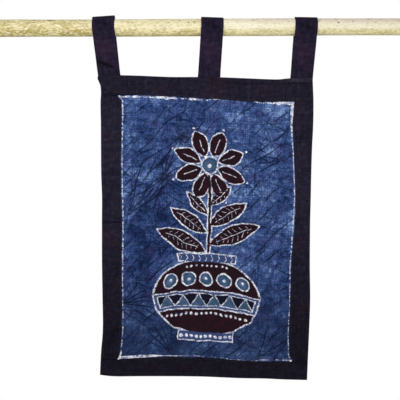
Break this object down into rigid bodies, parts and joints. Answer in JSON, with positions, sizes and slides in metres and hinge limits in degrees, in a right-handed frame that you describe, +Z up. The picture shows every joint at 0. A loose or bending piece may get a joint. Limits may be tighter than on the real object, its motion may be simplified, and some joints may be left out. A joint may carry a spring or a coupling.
{
  "type": "batik wall hanging on a rod",
  "caption": "Wax-resist cotton panel framed by dark pieced strips, hung by fabric tabs from a straight peeled wooden rod.",
  "frame": {"origin": "on the rod's axis, halfway along the rod, where the wall hooks or brackets carry it", "axes": "+Z up, +X along the rod to the viewer's right, +Y away from the viewer towards the wall"},
  "size_m": [0.76, 0.033, 0.6206],
  "materials": {
    "peeled_wood": "raw peeled wood, satin, with golden streaks and dark flecks",
    "batik_cotton": "matt wax-resist dyed cotton with crackle lines",
    "border_cotton": "matt dark plum-black plain-weave cotton",
    "tab_cotton": "matt dark plum plain-weave cotton"
  },
  "bodies": {
    "root": {"rod": "peeled_wood", "batik_panel": "batik_cotton", "border_top": "border_cotton", "border_bottom": "border_cotton", "border_left_upper": "border_cotton", "border_left_lower": "border_cotton", "border_right": "border_cotton", "tab_left": "tab_cotton", "tab_middle": "tab_cotton", "tab_right": "tab_cotton"}
  },
  "joints": []
}
